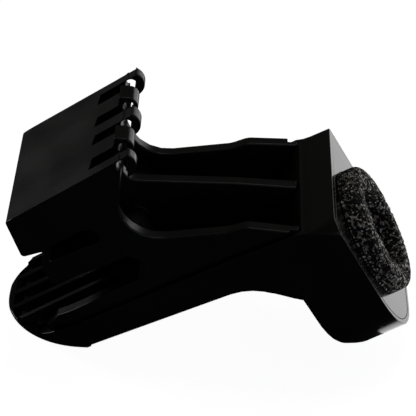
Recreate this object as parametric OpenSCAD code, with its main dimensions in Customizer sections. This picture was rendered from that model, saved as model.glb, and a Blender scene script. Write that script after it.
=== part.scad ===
// Cleat horn: a hollow moulded arm with a finned jaw at one end, a hinge comb above it and a
// foam ringed flange at the other end. Millimetres. X runs along the horn from the nose to the
// foam ring, Y across it, Z up. It stands on the nose tip and on the underside of the lobe.

/* [Arm] */
// Width of the box, the trough and the jaw
arm_w = 36; // [34:0.5:40]
// Thickness of the three long walls of the trough
wall_t = 2.8; // [2.4:0.1:3.2]
// Height of the level wall tops above the ground
wall_top = 35.2; // [34.4:0.1:36]
// Height at the box of the straight middle rib
rib_top = 34.1; // [33:0.1:34.6]
// Thickness of the bottom skin
skin_t = 2.6; // [2:0.1:3]
// Angle of the bottom of the arm to the ground
belly_angle = 28.7; // [28.2:0.1:29]

/* [Box and comb] */
// Slope of the top plate
plate_angle = 36.75; // [36:0.05:37.5]
// Thickness of the top plate
plate_t = 2; // [1.6:0.1:2.4]
// Thickness of the cross wall at the right of the box
cross_t = 2.4; // [2:0.1:3]
// Thickness of the two inner ribs of the box
rib_t = 1.6; // [1.2:0.1:2]
// Distance of the inner ribs from the middle
rib_y = 8.35; // [8:0.05:8.8]
// Length of the plate up to the slots of the comb
slot_start = 21.6; // [20.5:0.1:22.5]
// Half width of the middle finger
mid_finger = 1.9; // [1.6:0.1:2.2]
// Inner edge of the wide fingers
wide_in = 5.6; // [5.2:0.1:6]
// Outer edge of the wide fingers
wide_out = 11.1; // [10.6:0.1:11.5]
// Diameter of the hinge pin that the comb takes
pin_d = 2.4; // [2:0.1:2.8]
// Radial clearance of the pin in its half bearings
pin_gap = 0.05; // [0.02:0.01:0.1]
// Outer radius of the hooked fingers
hook_r = 3.05; // [2.7:0.05:3.2]

/* [Jaw] */
// Reach of the nose in front of the foot corner
nose_len = 19.1; // [18:0.1:20]
// Corner radius of the nose, seen from above
nose_r = 17; // [15:0.5:17.5]
// Thickness of the bed at the nose tip
nose_t = 0.4; // [0.3:0.1:1]
// Slope of the finned bed
fin_angle = 34; // [33:0.25:35]
// Thickness of a fin
fin_t = 1.2; // [0.9:0.1:1.6]
// Number of fins between the side walls
fins = 5; // [3:2:7]
// Radius of the round end of the mouth
mouth_r = 3.3; // [3:0.05:3.5]
// Thickness of the web round the end of the mouth
web_t = 2; // [1.6:0.1:2.4]

/* [Parting joint] */
// Slope of the parting line
part_angle = 31.7; // [31.2:0.1:32.2]
// Width of the shadow gap along the parting line
part_gap = 1.2; // [0.8:0.1:1.4]
// Depth of the lap inside the lower shell
lap_h = 3.4; // [3:0.1:4]
// Clearance between the lap and the lower shell
lap_gap = 0.1; // [0.05:0.01:0.15]

/* [End flange and foam] */
// Width of the end face
end_w = 38.8; // [38.2:0.2:40]
// Height of the end face along its slope
end_h = 38.4; // [38:0.1:38.8]
// Slope of the end face
end_angle = 57.3; // [57:0.1:57.6]
// Radius of the lower corners of the end face
end_r = 15.8; // [15:0.1:16.6]
// Radius of the upper corner of the end face on the near side
top_r = 4; // [3:0.1:4.6]
// Radius of the upper corner of the end face on the far side
far_r = 0.8; // [0.4:0.1:1.2]
// Thickness of the end plate
end_t = 2.2; // [1.8:0.1:2.8]
// Width of the shell rim round the end plate
rim_t = 1.2; // [1:0.1:1.6]
// Clearance round the end plate
seat_gap = 0.08; // [0.05:0.01:0.12]
// Outer diameter of the foam ring
foam_od = 31; // [29:0.2:31.4]
// Inner diameter of the foam ring
foam_id = 18.6; // [16:0.2:20]
// Thickness of the foam ring
foam_t = 4.3; // [3:0.1:6]
// Thickness of the adhesive film under the foam
film_t = 0.2; // [0.15:0.05:0.3]

/* [Hidden] */
$fn = 64;
eps = 0.02;
half = arm_w / 2;
inner = half - wall_t;
foot = 0.15;                    // height of the foot corner, the nose tip is on the ground
box = [-18.4, 32.3];            // upper left edge of the box
face_x = 5;                     // right face of the box
ridge = [50.8, 38.5];           // ridge between the block top and the end face
down = [cos(end_angle), -sin(end_angle)];
out = [sin(end_angle), cos(end_angle)];
ring_h = foam_od / 2 + 1.5;     // distance of the ring's centre from the ridge
tip = ridge + ring_h * down + (foam_t + film_t) * out;
reach = tip[0] + foam_od / 2 * down[0];
shift = (nose_len - reach) / 2;
bed = [-5.8, 8.7];              // a point on the finned bed
pin_r = pin_d / 2 + pin_gap;
pin = [5.8, 48.5];
pitch = (arm_w - wall_t) / (fins + 1);
lap_t = wall_t / 2;
groove_end = 43;                // where the parting line reaches the wall tops
block_x = 45.2;                 // left edge of the sloped block top
flare_x = 30;
arc_x = nose_r - nose_len;      // where the rounded nose ends
blend_r = 9.2;                  // blend of the side walls into the box
floor_z = 21.1;                 // pocket floor over the arch
body_grey = [0.09, 0.09, 0.09];

// Rounded polygon from a list of [x, z, radius]
function unit(v) = v / norm(v);
function corner(a, b, c, r, n = 6) =
    r <= 0 ? [b] :
    let (u = unit(a - b), v = unit(c - b), w = acos(u * v), d = r / tan(w / 2),
         m = b + unit(u + v) * r / sin(w / 2), p = b + u * d - m, q = b + v * d - m,
         s = atan2(p[1], p[0]), t = (atan2(q[1], q[0]) - s + 540) % 360 - 180)
    [for (i = [0:n]) m + r * [cos(s + t * i / n), sin(s + t * i / n)]];
function flat(p) = [p[0], p[1]];
function rounded(p, n = 6) = let (m = len(p))
    [for (i = [0:m - 1]) each corner(flat(p[(i + m - 1) % m]), flat(p[i]), flat(p[(i + 1) % m]), p[i][2], n)];

function on_plate(s, h) = box + [s * cos(plate_angle) - h * sin(plate_angle),
                                 s * sin(plate_angle) + h * cos(plate_angle)];
function on_bed(x) = bed[1] + (x - bed[0]) * tan(fin_angle);
function on_part(x, d = 0) = wall_top + (x - groove_end) * tan(part_angle) + d / cos(part_angle);
function belly(x, d = 0) = foot + x * tan(belly_angle) + d / cos(belly_angle);
// Steep wall that shuts the pockets in front of the block
function shut_x(z) = 43.8 - (wall_top - z) / tan(70);

// Extrusion of a side outline across the arm, from y0 to y1
module side(y0, y1) translate([0, y1, 0]) rotate([90, 0, 0]) linear_extrude(y1 - y0) children();
module both(y0, y1) { side(y0, y1) children(); side(-y1, -y0) children(); }
// Turns a flat drawing (x down the face, y across) onto the end face, t outside it
module at_end(t = 0) translate([ridge[0] + t * out[0], 0, ridge[1] + t * out[1]])
    multmatrix([[down[0], 0, out[0], 0], [0, 1, 0, 0], [down[1], 0, out[1], 0]]) children();

// Half width of the arm at x: it widens evenly from the middle of the trough to the block
function flare(x) = half + (end_w / 2 - half) * max(0, min(1, (x - flare_x) / (ridge[0] - flare_x)));
// Plan of the arm with its rounded nose, d inside the outer wall
module plan(d = 0) {
    for (s = [-1, 1]) translate([arc_x, s * (half - nose_r)]) circle(nose_r - d, $fn = 96);
    translate([d - nose_len, nose_r - half]) square([nose_r, arm_w - 2 * nose_r]);
    polygon([for (s = [1, -1], x = s > 0 ? [arc_x, flare_x, ridge[0], 80] : [80, ridge[0], flare_x, arc_x])
        [x, s * (flare(x) - d)]]);
}
// A side outline that follows the plan from d0 to d1 inside its edge
module skin(d0, d1) intersection() {
    side(-30, 30) children();
    linear_extrude(60) difference() { plan(d0); plan(d1); }
}
module fill(d) intersection() { side(-30, 30) children(); translate([0, 0, -9]) linear_extrude(80) plan(d); }

// Mouth of the jaw: a round end, the finned bed below it and the lip of the tongue above it
mouth_c = [8.2, on_bed(8.2) + mouth_r / cos(fin_angle)];
lip = [-7.9, 17.1];
roof_angle = 28.8;
roof_x = mouth_c[0] - mouth_r * sin(roof_angle);
roof_z = mouth_c[1] + mouth_r * cos(roof_angle);
function on_roof(x, t = 0) = roof_z + (x - roof_x) * tan(roof_angle) + t / cos(roof_angle);
module mouth() {
    translate(mouth_c) circle(mouth_r);
    polygon([[roof_x, roof_z], [lip[0], on_roof(lip[0])], [lip[0] - 1, on_roof(lip[0])], [-30, 16],
        [-30, on_bed(-30)], mouth_c + mouth_r * [sin(fin_angle), -cos(fin_angle)], mouth_c]);
}

// Left edge of the box and of the tongue, from the top plate down to the lip
edge = [[box[0], box[1], 0.8], [-14.7, 23.5, 0.9], [-9.7, 25.5, 0.6], [-10.5, 22.4, 2], [-10, 20.2, 1.6],
    [lip[0], on_roof(lip[0]), 0.6]];
// Top of a side wall, from the box to the block
brow = [[face_x, 29, blend_r], [28.9, wall_top - 1.65, 6], [32.6, wall_top, 5], [groove_end, wall_top, 0]];
// Outline of a side wall down to the parting line
module cheek() difference() {
    polygon(rounded(concat([edge[0]], [concat(on_plate(28.2, 0), 0), [face_x, 50, 0]], brow,
        [[-9.3, on_part(-9.3), 0], [-6, 9.4, 0], [-6, 12, 0]],
        [for (i = [len(edge) - 1:-1:1]) edge[i]])));
    mouth();
    polygon(rounded([[-8.7, 22.9, 0.4], [-8.7, 26.7, 0.4], [-1.8, 31.6, 1.5], [2.4, 31.2, 1.6],
        [1.3, 28.5, 1.4], [-4, 25.7, 2]]));
}
// Outline of a rib inside the box
module box_rib() polygon([on_plate(1.2, -1), on_plate(28, -1), [face_x - 1, 44], [face_x - 1, on_roof(face_x - 1, 1)],
    [-7, on_roof(-7, 1)], [-9.2, 20.8], [-9.2, 26.4], [-13.4, 25.2]]);
// Cross skins: top plate, left face, underside of the box, tongue, roof and round end of the mouth
module crossing() {
    intersection() {
        cheek();
        polygon([[-30, 15], [-30, 60], on_plate(40, 0), on_plate(26.8, 0), on_plate(28, -plate_t),
            on_plate(3, -plate_t), [-13.2, 26.4], [-10, 27.6], [-8.8, 27], [-8.8, 21], [-7, on_roof(-7, web_t)],
            [roof_x, roof_z + web_t], [roof_x, roof_z - 1], [-9, 14]]);
    }
    difference() {
        translate(mouth_c) circle(mouth_r + web_t);
        mouth();
        polygon([mouth_c, [roof_x, roof_z], [-9, roof_z], [-9, 5], [mouth_c[0], 5]]);
    }
    polygon([[face_x - cross_t, roof_z - 0.4], [face_x, roof_z + 1], on_plate(29, -1.2), on_plate(25.6, -1.2)]);
}

// Comb: the odd fingers end in a hook over the pin, the even ones in a raised half bearing under it
module finger(s1) polygon([on_plate(slot_start - 1, 0), on_plate(s1, 0), on_plate(s1, -plate_t),
    on_plate(slot_start - 1, -plate_t)]);
module hooked() difference() {
    union() {
        intersection() {
            translate(pin) circle(hook_r);
            polygon([on_plate(20, 0), pin + [0.8, hook_r - 0.55], pin + [0.9, 6], pin + [6, 6], pin + [6, -6],
                on_plate(20, -9)]);
        }
        finger(28);
    }
    polygon([pin, pin + [1.2, -1.3], pin + [1.4, -5], pin + [-5, -5], pin + [-5, -1.8], pin + [-1.4, -1.2]]);
}
module knob() {
    translate(pin + [-0.1, 0.1]) circle(2.2);
    polygon([[3.65, 48], [3.65, pin[1] + 2.3], pin + [-0.1, 2.3], pin + [2, 0.6], pin + [1.8, -0.6],
        [face_x, 46.6], [face_x - 2, 46.6]]);
    finger(28);
}
module slot() polygon([on_plate(slot_start, 3), on_plate(slot_start, -plate_t - 0.5),
    [face_x - cross_t - 0.5, 46], [face_x + 9, 46], [face_x + 9, 56]]);

module upper_body() color(body_grey) translate([shift, 0, 0]) difference() {
    union() {
        // side walls: straight in the box, along the rounded plan in the skirt of the jaw
        skin(0, wall_t) intersection() { cheek(); translate([arc_x, 0]) square([90, 60]); }
        skin(0, wall_t) intersection() { cheek(); translate([-30, 0]) square([arc_x + 30, 15]); }
        both(inner, half) intersection() { cheek(); translate([-30, 15]) square([arc_x + 30, 60]); }
        side(-half, half) crossing();
        // middle rib along the box and the trough, two short ribs in the box
        side(-wall_t / 2, wall_t / 2) difference() {
            polygon(rounded([[face_x - 1, roof_z - 1, 0], [face_x - 1, 45, 0], [face_x, 45, 0],
                [face_x, rib_top, 4], [30.5, wall_top, 2], [groove_end + 0.5, wall_top, 0],
                [shut_x(24) - lap_gap, 24, 0], [shut_x(floor_z) - lap_gap, floor_z + lap_gap, 0],
                [30, floor_z + lap_gap, 6], [12, belly(12, skin_t + lap_gap), 0], [10.5, 14, 0]]));
            mouth();
        }
        side(-wall_t / 2, wall_t / 2) box_rib();
        for (s = [-1, 1]) side(s * rib_y - rib_t / 2, s * rib_y + rib_t / 2) box_rib();
        // knuckles of the comb
        side(-mid_finger, mid_finger) hooked();
        both(inner, half) hooked();
        both(wide_in, wide_out) knob();
        // lap that enters the lower shell
        skin(lap_t + lap_gap / 2, wall_t) polygon([[-5, on_part(-5, 1)], [groove_end - 2, on_part(groove_end - 2, 1)],
            [groove_end - 2, wall_top], [groove_end + 0.8, wall_top], [shut_x(33) - lap_gap, 33],
            [groove_end - 1.6, on_part(groove_end - 1.6, -lap_h)],
            [-2, on_part(-2, -lap_h)], [-5, on_part(-5, -lap_h / 2)]]);
    }
    both(mid_finger, wide_in) slot();
    both(wide_out, inner) slot();
    both(wide_in - eps, wide_out + eps) polygon([[face_x + eps, 46.6], pin + [1.9, -0.3], pin + [9, 1], [12, 40],
        [face_x + eps, 40]]);
    translate([pin[0], 0, pin[1]]) rotate([90, 0, 0]) cylinder(r = pin_r, h = arm_w + 10, center = true);
    // shadow gap under the outer half of the side walls
    difference() {
        side(-30, 30) polygon([[-30, on_part(-30, part_gap / 2)], [60, on_part(60, part_gap / 2)],
            [60, on_part(60, -9)], [-30, on_part(-30, -9)]]);
        translate([0, 0, -9]) linear_extrude(80) plan(lap_t + lap_gap / 2);
    }
}

// Underside from the arch to the foot of the end face, cut into short steps. Its front leg leans
// a little less than the end face, so that every section lies clear of the one before it
end_foot = ridge + end_h * down;
under = rounded([[29, belly(29), 0], [36.5, belly(36.5, 0.1), 13], [48.1, 14.8, 4], [57.9, 0, 3.6], [62.3, 0, 4.5],
    [end_foot[0], end_foot[1], 0]], 5);
fine = [for (i = [0:len(under) - 2]) let (n = ceil((under[i + 1] - under[i]) * out / 1.8))
    for (j = [0:n - 1]) under[i] + (under[i + 1] - under[i]) * j / n];
low = concat([[0.3, belly(0.3)], [28, belly(28)]], fine, [end_foot]);
function smooth(t) = let (c = max(0, min(1, t))) c * c * (3 - 2 * c);
function low_r(x) = 1 + (end_r - 1) * smooth((x - 38) / 24);
// Height of a section above the underside: to the parting line, the level wall tops, the block top
function rise(b) = max((b - ridge) * down, min((wall_top - b[1]) / -down[1],
    (on_part(b[0], -part_gap / 2) - b[1]) / (down[0] * tan(part_angle) - down[1])));
function top_x(b) = b[0] - rise(b) * down[0];
function high_r(b, s) = max(0.2, (s < 0 ? top_r : far_r) * (top_x(b) - block_x) / (ridge[0] - block_x));
steps = 8;
// One section parallel to the end face
function quarter(b, s) = let (h = rise(b), r = low_r(b[0]), q = high_r(b, s))
    concat([for (i = [0:steps]) let (a = 90 * i / steps) [r * sin(a) - r, r - r * cos(a)]],
        [for (i = [0:3]) let (a = 30 * i) [q * cos(a) - q, h - q + q * sin(a)]]);
function spot(b, p, s) = let (x = b[0] - p[1] * down[0]) [x, s * (flare(x) + p[0]), b[1] - p[1] * down[1]];
function section(b) = let (f = quarter(b, 1), g = quarter(b, -1), n = len(g))
    concat([for (p = f) spot(b, p, 1)], [for (j = [n - 1:-1:0]) spot(b, g[j], -1)]);
module loft() {
    rings = [for (b = low) section(b)];
    m = len(rings[0]);
    n = len(rings);
    polyhedron(points = [for (r = rings) each r],
        faces = concat([[for (j = [0:m - 1]) j]], [[for (j = [m - 1:-1:0]) (n - 1) * m + j]],
            [for (i = [0:n - 2], j = [0:m - 1]) let (k = (j + 1) % m)
                each [[i * m + j, (i + 1) * m + k, i * m + k], [i * m + j, (i + 1) * m + j, (i + 1) * m + k]]]));
}

// Outline of the end face, d inside its edge
module end_shape(d = 0) {
    w = end_w / 2;
    for (s = [-1, 1]) {
        translate([end_h - end_r, s * (w - end_r)]) circle(end_r - d, $fn = 96);
    }
    translate([top_r, top_r - w]) circle(top_r - d);
    translate([top_r, d - w]) square([end_h - end_r - top_r, end_w - 2 * d]);
    translate([d, top_r - w]) square([end_h - end_r, end_w - top_r - d]);
    translate([end_h - end_r, end_r - w]) square([end_r - d, end_w - 2 * end_r]);
}

// Outline of the shell below the parting line, before its inside is taken out
module hull() {
    loft();
    fill(0) polygon([[-nose_len, 0], [0, foot], [0.8, belly(0.8)], [0.8, 4],
        [-1, on_part(-1, -part_gap / 2)], [-11.2, on_part(-11.2, -part_gap / 2)], [-11.6, 1.6],
        [-nose_len, nose_t]]);
}
module lower_shell() color(body_grey) translate([shift, 0, 0]) {
    difference() {
        hull();
        // room in the jaw and in the pockets of the arm
        fill(wall_t) polygon([[-11.6, 1.6], [-nose_len, nose_t], [-nose_len, 60], [shut_x(60), 60],
            [shut_x(floor_z), floor_z], [33.5, floor_z], [28, belly(28, skin_t)], [0, foot + skin_t]]);
        // hollow of the block, open at the end, and the seat of the end plate
        intersection() {
            at_end(-40) linear_extrude(50) end_shape(skin_t);
            fill(skin_t) polygon([[shut_x(50) + skin_t, 50], [shut_x(23) + skin_t, 23], [42.8, 21.6],
                [46.6, 20], [50, 16.8], [57.2, 4.2], [59, 3], [62.4, 3],
                end_foot + [0, skin_t + 0.4], [90, 20], [90, 50]]);
        }
        at_end(-end_t - seat_gap) linear_extrude(10) end_shape(rim_t);
        // seat of the lap
        skin(lap_t, wall_t + eps) polygon([[-6, on_part(-6, -lap_h - lap_gap)],
            [groove_end - 1, on_part(groove_end - 1, -lap_h - lap_gap)],
            [groove_end + 0.85, wall_top + 1], [-6, 50]]);
    }
    // fins of the bed, even pitch between the side walls
    for (i = [1:fins]) intersection() {
        fill(0.2) polygon([[-nose_len, 0.1], [0, foot + 1], [9.6, belly(9.6, 1)], [9.6, on_bed(9.6)],
            [bed[0] + (nose_t - bed[1]) / tan(fin_angle), nose_t], [-nose_len, nose_t]]);
        translate([-30, i * pitch - (arm_w - wall_t) / 2 - fin_t / 2, -1]) cube([60, fin_t, 40]);
    }
    // rails on the floor that hold the foot of the middle rib
    both(wall_t / 2 + lap_gap, wall_t / 2 + lap_gap + 1.2) polygon([[12, belly(12, 1)], [30, belly(30, 1)],
        [32, floor_z + 1.6], [30, floor_z + 2], [27, belly(27, skin_t + 2.2)], [12, belly(12, skin_t + 2.2)]]);
}

module end_plate() color(body_grey) translate([shift, 0, 0])
    at_end(-end_t) linear_extrude(end_t) end_shape(rim_t + seat_gap);

module ring(t0, t1, d_out, d_in) translate([shift, 0, 0]) at_end(t0) translate([ring_h, 0, 0]) difference() {
    cylinder(d = d_out, h = t1 - t0);
    translate([0, 0, -1]) cylinder(d = d_in, h = t1 - t0 + 2);
}
module adhesive_ring() color([0.75, 0.73, 0.68]) ring(0, film_t, foam_od - 0.6, foam_id + 0.6);
module foam_ring() color([0.12, 0.11, 0.1]) ring(film_t, film_t + foam_t, foam_od, foam_id);

upper_body();
lower_shell();
end_plate();
adhesive_ring();
foam_ring();
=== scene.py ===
import math

import bmesh
import bpy
from mathutils import Matrix, Vector, noise


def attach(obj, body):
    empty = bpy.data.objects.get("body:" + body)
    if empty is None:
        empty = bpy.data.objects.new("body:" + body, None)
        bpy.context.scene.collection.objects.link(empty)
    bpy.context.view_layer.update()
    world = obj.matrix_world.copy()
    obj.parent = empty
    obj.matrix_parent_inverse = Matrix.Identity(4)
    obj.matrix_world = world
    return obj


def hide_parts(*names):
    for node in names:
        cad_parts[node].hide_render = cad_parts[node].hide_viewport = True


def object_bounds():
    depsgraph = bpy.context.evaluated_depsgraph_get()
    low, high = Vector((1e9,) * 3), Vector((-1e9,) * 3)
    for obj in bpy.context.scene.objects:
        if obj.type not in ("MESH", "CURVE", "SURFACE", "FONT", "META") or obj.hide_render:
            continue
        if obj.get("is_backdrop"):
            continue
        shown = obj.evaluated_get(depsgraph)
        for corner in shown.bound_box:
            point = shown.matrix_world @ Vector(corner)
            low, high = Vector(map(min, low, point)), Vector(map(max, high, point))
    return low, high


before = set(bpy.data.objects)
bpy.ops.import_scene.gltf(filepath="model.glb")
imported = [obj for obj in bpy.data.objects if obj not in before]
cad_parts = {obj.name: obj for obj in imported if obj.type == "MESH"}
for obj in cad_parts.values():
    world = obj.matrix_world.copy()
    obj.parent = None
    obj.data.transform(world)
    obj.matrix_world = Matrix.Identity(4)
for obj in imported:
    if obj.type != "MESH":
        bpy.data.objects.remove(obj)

cad_low, cad_high = (list(v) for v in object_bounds())

MM = 0.001
BASE = cad_low[2]
SHARP = math.radians(32)        # an edge that turns more than this is rounded
STRAIGHT_ON = -0.8              # cosine between two edges that carry on as one line
WELD = 0.000004
FOAM_SHRINK = 0.0009            # the foam's side lies this far inside the solid ring
FOAM_SHIFT = 0.0008             # the foam sits this far towards -Y of the solid ring's centre
FOAM_PITCH = 0.00021             # spacing of the foam skin's points
FOAM_TURNS = 380
FILM_SCALE = 0.93


def linear(code):
    """sRGB hex colour to linear RGBA."""
    parts = [int(code[i:i + 2], 16) / 255 for i in (0, 2, 4)]
    return [c / 12.92 if c <= 0.04045 else ((c + 0.055) / 1.055) ** 2.4 for c in parts] + [1.0]


def add(tree, kind, inputs=None, **settings):
    """Adds a node with its settings; inputs are numbers, colours or sockets to link."""
    node = tree.nodes.new(kind)
    for key, value in settings.items():
        setattr(node, key, value)
    for key, value in (inputs or {}).items():
        if isinstance(key, str):
            socket = next(s for s in node.inputs if s.enabled and s.name == key)
        else:
            socket = node.inputs[key]
        if isinstance(value, bpy.types.NodeSocket):
            tree.links.new(value, socket)
        else:
            socket.default_value = value
    return node


def new_material(name):
    mat = bpy.data.materials.new(name)
    mat.use_nodes = True
    tree = mat.node_tree
    tree.nodes.clear()
    return mat, tree, add(tree, "ShaderNodeTexCoord").outputs["Object"]


def black_moulded_plastic(name, smoothest, dullest):
    # black ABS, injection moulded: dark smooth skin, with a faint uneven flow that softens
    # highlights
    mat, tree, at = new_material(name)
    flow = add(tree, "ShaderNodeTexNoise", {"Vector": at, "Scale": 90.0, "Detail": 1.0})
    grain = add(tree, "ShaderNodeTexNoise", {"Vector": at, "Scale": 2600.0, "Detail": 2.0})
    rough = add(tree, "ShaderNodeMapRange",
                {"Value": flow.outputs["Fac"], "From Min": 0.3, "From Max": 0.7,
                 "To Min": smoothest, "To Max": dullest})
    tone = add(tree, "ShaderNodeValToRGB", {"Fac": flow.outputs["Fac"]})
    tone.color_ramp.elements[0].color = linear("11110e")
    tone.color_ramp.elements[1].color = linear("1a1a15")
    skin = add(tree, "ShaderNodeBump",
               {"Height": grain.outputs["Fac"], "Strength": 0.08, "Distance": 0.00003})
    sink = add(tree, "ShaderNodeBump",
               {"Height": flow.outputs["Fac"], "Strength": 0.15, "Distance": 0.00008,
                "Normal": skin.outputs["Normal"]})
    shader = add(tree, "ShaderNodeBsdfPrincipled",
                 {"Base Color": tone.outputs["Color"], "Roughness": rough.outputs["Result"],
                  "IOR": 1.5, "Normal": sink.outputs["Normal"]})
    add(tree, "ShaderNodeOutputMaterial", {"Surface": shader.outputs["BSDF"]})
    return mat


def charcoal_foam():
    # coarse open-cell polyurethane foam: dull charcoal struts round cells drawn 0.8 mm wide, with
    # painted shade in the cell pits,
    # and painted glints: specks about 0.35 mm across, picked at random, coloured near white and
    # made smoother
    mat, tree, at = new_material("charcoal open-cell foam")
    cells = add(tree, "ShaderNodeTexVoronoi", {"Vector": at, "Scale": 1250.0}, feature="F1")
    glint_specks = add(tree, "ShaderNodeTexVoronoi", {"Vector": at, "Scale": 2900.0}, feature="F1")
    pit_depth_and_shade = add(tree, "ShaderNodeMapRange",
                {"Value": cells.outputs["Distance"], "From Min": 0.2, "From Max": 0.8})
    # painted shade: the near-black 030303 end of this ramp darkens the inside of every cell pit
    tone = add(tree, "ShaderNodeValToRGB", {"Fac": pit_depth_and_shade.outputs["Result"]})
    tone.color_ramp.elements[0].position = 0.72
    tone.color_ramp.elements[0].color = linear("030303")
    tone.color_ramp.elements[1].color = linear("b0a691")
    # painted glints: the specks picked out here get a near-white base colour fffaf0 in place of a
    # real glint
    pick = add(tree, "ShaderNodeSeparateColor", {"Color": glint_specks.outputs["Color"]})
    bright = add(tree, "ShaderNodeMapRange",
                 {"Value": pick.outputs["Red"], "From Min": 0.88, "From Max": 0.91})
    colour = add(tree, "ShaderNodeMix",
                 {"Factor": bright.outputs["Result"], "A": tone.outputs["Color"],
                  "B": linear("fffaf0")},
                 data_type="RGBA")
    gloss = add(tree, "ShaderNodeMapRange",
                {"Value": bright.outputs["Result"], "To Min": 0.75, "To Max": 0.22})
    relief = add(tree, "ShaderNodeBump",
                 {"Height": pit_depth_and_shade.outputs["Result"], "Strength": 1.0, "Distance": 0.0006})
    tilt = add(tree, "ShaderNodeBump",
               {"Height": pick.outputs["Green"], "Strength": 0.8, "Distance": 0.0003,
                "Normal": relief.outputs["Normal"]})
    shader = add(tree, "ShaderNodeBsdfPrincipled",
                 {"Base Color": colour.outputs[2], "Roughness": gloss.outputs["Result"],
                  "Normal": tilt.outputs["Normal"]})
    add(tree, "ShaderNodeOutputMaterial", {"Surface": shader.outputs["BSDF"]})
    return mat


def tacky_film():
    # acrylic transfer adhesive: a thin matt film with a slightly cloudy edge
    mat, tree, at = new_material("acrylic adhesive film")
    cloud = add(tree, "ShaderNodeTexNoise", {"Vector": at, "Scale": 600.0, "Detail": 3.0})
    tone = add(tree, "ShaderNodeValToRGB", {"Fac": cloud.outputs["Fac"]})
    tone.color_ramp.elements[0].color = linear("2b2925")
    tone.color_ramp.elements[1].color = linear("4b483f")
    shader = add(tree, "ShaderNodeBsdfPrincipled",
                 {"Base Color": tone.outputs["Color"], "Roughness": 0.6})
    add(tree, "ShaderNodeOutputMaterial", {"Surface": shader.outputs["BSDF"]})
    return mat


def welded(node):
    """A bmesh of a CAD node with its loose triangles joined and its flat faces whole."""
    bm = bmesh.new()
    bm.from_mesh(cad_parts[node].data)
    bmesh.ops.remove_doubles(bm, verts=bm.verts, dist=WELD)
    bmesh.ops.dissolve_degenerate(bm, edges=bm.edges, dist=WELD)
    bmesh.ops.dissolve_limit(bm, angle_limit=math.radians(0.6), verts=bm.verts, edges=bm.edges)
    return bm


def round_edges(bm, width, segments):
    """Rounds the sharp edges that have room for it, and leaves the cramped ones sharp."""
    bm.normal_update()
    sharp = {e for e in bm.edges if e.is_manifold and e.calc_face_angle(0.0) > SHARP}

    def direction(edge, vert):
        return (edge.other_vert(vert).co - vert.co).normalized()

    def has_room(vert):
        meeting = [e for e in vert.link_edges if e in sharp]
        crossing = [e for e in vert.link_edges if e not in sharp]
        along_a_chain = len(meeting) == 2 and \
            direction(meeting[0], vert).dot(direction(meeting[1], vert)) < STRAIGHT_ON
        if not along_a_chain:
            crossing = list(vert.link_edges)
        return len(meeting) in (2, 3) and all(e.calc_length() > 2.2 * width for e in crossing)

    roomy = {v for e in sharp for v in e.verts if has_room(v)}
    chosen = [e for e in bm.edges if e in sharp and all(v in roomy for v in e.verts)]
    bmesh.ops.bevel(bm, geom=chosen, offset=width, offset_type="OFFSET", segments=segments,
                    profile=0.5, affect="EDGES", material=-1, clamp_overlap=False)


def finish(bm, name, mat, node, edge=0.0, segments=3, smooth=35):
    if edge:
        round_edges(bm, edge, segments)
    mesh = bpy.data.meshes.new(name)
    for face in bm.faces:
        face.smooth = True
    bm.to_mesh(mesh)
    bm.free()
    mesh.materials.append(mat)
    obj = bpy.data.objects.new(name, mesh)
    bpy.context.scene.collection.objects.link(obj)
    bpy.context.view_layer.objects.active = obj
    with bpy.context.temp_override(object=obj, active_object=obj, selected_objects=[obj],
                                   selected_editable_objects=[obj]):
        bpy.ops.object.shade_smooth_by_angle(angle=math.radians(smooth))
    if edge:
        flat = obj.modifiers.new("flat faces stay flat", "WEIGHTED_NORMAL")
        flat.mode = "FACE_AREA"
        flat.weight = 100
        flat.keep_sharp = True
    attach(obj, "root")
    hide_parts(node)
    return obj


plastic = black_moulded_plastic("black moulded plastic, satin", 0.24, 0.34)
polished = black_moulded_plastic("black moulded plastic, polished", 0.15, 0.2)
finish(welded("upper_body"), "upper_moulding", plastic, "upper_body", edge=0.3 * MM)
finish(welded("lower_shell"), "lower_moulding", polished, "lower_shell", edge=0.25 * MM)
finish(welded("end_plate"), "end_cover", polished, "end_plate", edge=0.15 * MM)


def foam_frame():
    """The foam ring's centre, its axis, its outer and inner radius, and half its thickness."""
    verts = [v.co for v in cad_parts["foam_ring"].data.vertices]
    centre = sum(verts, Vector()) / len(verts)
    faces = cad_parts["foam_ring"].data.polygons
    normal = max((f.normal for f in faces), key=lambda n: n.x + n.z)
    normal = Vector((0.8415, 0, 0.5402)).normalized() if normal.length < 0.5 else normal.copy()
    reach = [(v - centre) for v in verts]
    half = max(r.dot(normal) for r in reach)
    flat = [(r - normal * r.dot(normal)).length for r in reach]
    return centre, normal, max(flat), min(flat), half


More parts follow.
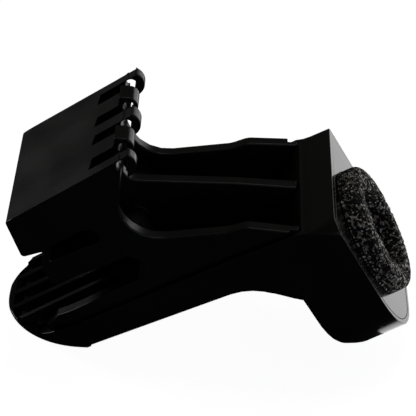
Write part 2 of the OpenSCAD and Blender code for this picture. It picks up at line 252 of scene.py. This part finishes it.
def foam_ring():
    """Dense ring whose skin is sunk in cell pits, so that it stays inside the solid ring."""
    centre, axis, outer, inner, half = foam_frame()
    outer -= FOAM_SHRINK
    centre = centre - Vector((0, FOAM_SHIFT, 0))
    across = Vector((0, 1, 0))
    along = across.cross(axis)
    turn = Matrix((along, across, axis)).transposed()
    bm = bmesh.new()
    lip, round_x, round_z = 0.0004, 0.0020, 0.0018
    shoulder = [(outer - round_x * (1 - math.cos(a)), half - round_z * (1 - math.sin(a)))
                for a in (math.radians(9 * i) for i in range(11))]
    outline = [(inner, -half), (outer, -half)] + shoulder
    outline += [(inner + lip, half), (inner, half - lip)]
    points = []
    for a, b in zip(outline, outline[1:] + outline[:1]):
        n = max(1, round(math.dist(a, b) / FOAM_PITCH))
        points += [bm.verts.new((a[0] + (b[0] - a[0]) * i / n, 0, a[1] + (b[1] - a[1]) * i / n))
                   for i in range(n)]
    edges = [bm.edges.new((points[i - 1], points[i])) for i in range(len(points))]
    bmesh.ops.spin(bm, geom=points + edges, cent=(0, 0, 0), axis=(0, 0, 1), angle=math.tau,
                   steps=FOAM_TURNS, use_merge=True)
    bmesh.ops.recalc_face_normals(bm, faces=bm.faces)
    bm.normal_update()
    normals = [v.normal.copy() for v in bm.verts]
    for vert, normal in zip(bm.verts, normals):
        if vert.co.z < -half + 0.0001:
            continue
        near = noise.voronoi(vert.co / 0.0012)[0]
        pit = max(0.0, 1 - near[0] / 0.55) ** 0.6 if near[0] < 0.55 else 0.0
        ragged = noise.noise(vert.co / 0.0006) * 0.5 + 0.5
        vert.co -= normal * (0.00042 * pit + 0.00014 * ragged)
    bm.transform(Matrix.Translation(centre) @ turn.to_4x4())
    return bm


def film_ring():
    """The film is cut a little smaller than the foam that covers it."""
    bm = welded("adhesive_ring")
    centre = sum((v.co for v in bm.verts), Vector()) / len(bm.verts)
    bmesh.ops.scale(bm, vec=(FILM_SCALE, FILM_SCALE, FILM_SCALE),
                    space=Matrix.Translation(-centre), verts=bm.verts)
    bmesh.ops.translate(bm, vec=(0, -FOAM_SHIFT, 0), verts=bm.verts)
    return bm


finish(film_ring(), "adhesive_film", tacky_film(), "adhesive_ring")
foam = finish(foam_ring(), "foam_pad", charcoal_foam(), "foam_ring", smooth=60)


def camera():
    yaw, dip, roll = math.radians(1.114), math.radians(34.0), math.radians(4.4)
    ahead = Vector((math.sin(yaw) * math.cos(dip), math.cos(yaw) * math.cos(dip), -math.sin(dip)))
    level = Vector((math.cos(yaw), -math.sin(yaw), 0))
    above = level.cross(ahead)
    side = level * math.cos(roll) + above * math.sin(roll)
    above = above * math.cos(roll) - level * math.sin(roll)
    data = bpy.data.cameras.new("view")
    data.lens = 164.95
    data.sensor_width = 36.0
    data.clip_start, data.clip_end = 0.01, 20
    obj = bpy.data.objects.new("view", data)
    spot = Vector((-8.767, -348.713, 262.590)) * MM
    turn = Matrix((side, above, -ahead)).transposed()
    obj.matrix_world = Matrix.Translation(spot) @ turn.to_4x4()
    bpy.context.scene.collection.objects.link(obj)
    bpy.context.scene.camera = obj


camera()


def softbox(name, at, aim, size, power, colour="ffffff"):
    data = bpy.data.lights.new(name, "AREA")
    data.shape = "RECTANGLE"
    data.size, data.size_y = size
    data.energy = power
    data.color = linear(colour)[:3]
    obj = bpy.data.objects.new(name, data)
    obj.location = at
    obj.rotation_euler = (Vector(aim) - Vector(at)).to_track_quat("-Z", "Y").to_euler()
    obj.visible_camera = False
    bpy.context.scene.collection.objects.link(obj)


softbox("key", (0.5, 0.7, 0.16), (0.03, 0, 0.03), (0.5, 0.3), 0.5)
softbox("light table", (0.22, 0.22, 0.0006), (0.22, 0.22, 1), (0.36, 0.47), 0.66)
softbox("top", (0.05, 0.3, 0.8), (0, 0, 0.02), (0.35, 0.3), 0.45)
softbox("left", (-0.8, 0.55, 0.34), (0, 0, 0.03), (0.25, 0.3), 0.9)
softbox("front fill", (0.3, -0.7, 0.15), (0, 0, 0.02), (0.5, 0.3), 0.5, "dfe6ff")


def floor_material():
    # matt paper sweep: pale to the eye, a plain grey in the reflections of the glossy skin
    mat, tree, at = new_material("paper sweep")
    path = add(tree, "ShaderNodeLightPath")
    fibre = add(tree, "ShaderNodeTexNoise", {"Vector": at, "Scale": 40.0, "Detail": 2.0})
    tone = add(tree, "ShaderNodeValToRGB", {"Fac": fibre.outputs["Fac"]})
    tone.color_ramp.elements[0].color = linear("c9c9c6")
    tone.color_ramp.elements[1].color = linear("d2d2cf")
    paper = add(tree, "ShaderNodeBsdfPrincipled",
                {"Base Color": tone.outputs["Color"], "Roughness": 0.9})
    bright = add(tree, "ShaderNodeEmission", {"Color": linear("ffffff"), "Strength": 0.95})
    both = add(tree, "ShaderNodeAddShader",
               {0: paper.outputs["BSDF"], 1: bright.outputs["Emission"]})
    shade = add(tree, "ShaderNodeBsdfDiffuse", {"Color": linear("4c4d50")})
    mix = add(tree, "ShaderNodeMixShader",
              {"Fac": path.outputs["Is Camera Ray"], 1: shade.outputs["BSDF"],
               2: both.outputs["Shader"]})
    add(tree, "ShaderNodeOutputMaterial", {"Surface": mix.outputs["Shader"]})
    return mat


def sweep():
    bm = bmesh.new()
    bmesh.ops.create_grid(bm, x_segments=2, y_segments=2, size=3.0)
    bmesh.ops.translate(bm, verts=bm.verts, vec=(0, 0, BASE))
    mesh = bpy.data.meshes.new("sweep")
    bm.to_mesh(mesh)
    bm.free()
    mesh.materials.append(floor_material())
    obj = bpy.data.objects.new("sweep", mesh)
    bpy.context.scene.collection.objects.link(obj)
    obj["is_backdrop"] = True


sweep()


def surroundings():
    world = bpy.data.worlds.new("studio")
    bpy.context.scene.world = world
    world.use_nodes = True
    tree = world.node_tree
    tree.nodes.clear()
    path = add(tree, "ShaderNodeLightPath")
    seen = add(tree, "ShaderNodeMath",
               {0: path.outputs["Is Camera Ray"], 1: path.outputs["Is Transmission Ray"]},
               operation="MAXIMUM")
    level = add(tree, "ShaderNodeMapRange",
                {"Value": seen.outputs["Value"], "To Min": 0.03, "To Max": 1.0})
    sky = add(tree, "ShaderNodeBackground",
              {"Color": linear("ffffff"), "Strength": level.outputs["Result"]})
    add(tree, "ShaderNodeOutputWorld", {"Surface": sky.outputs["Background"]})


surroundings()
bpy.context.scene.view_settings.view_transform = "Standard"
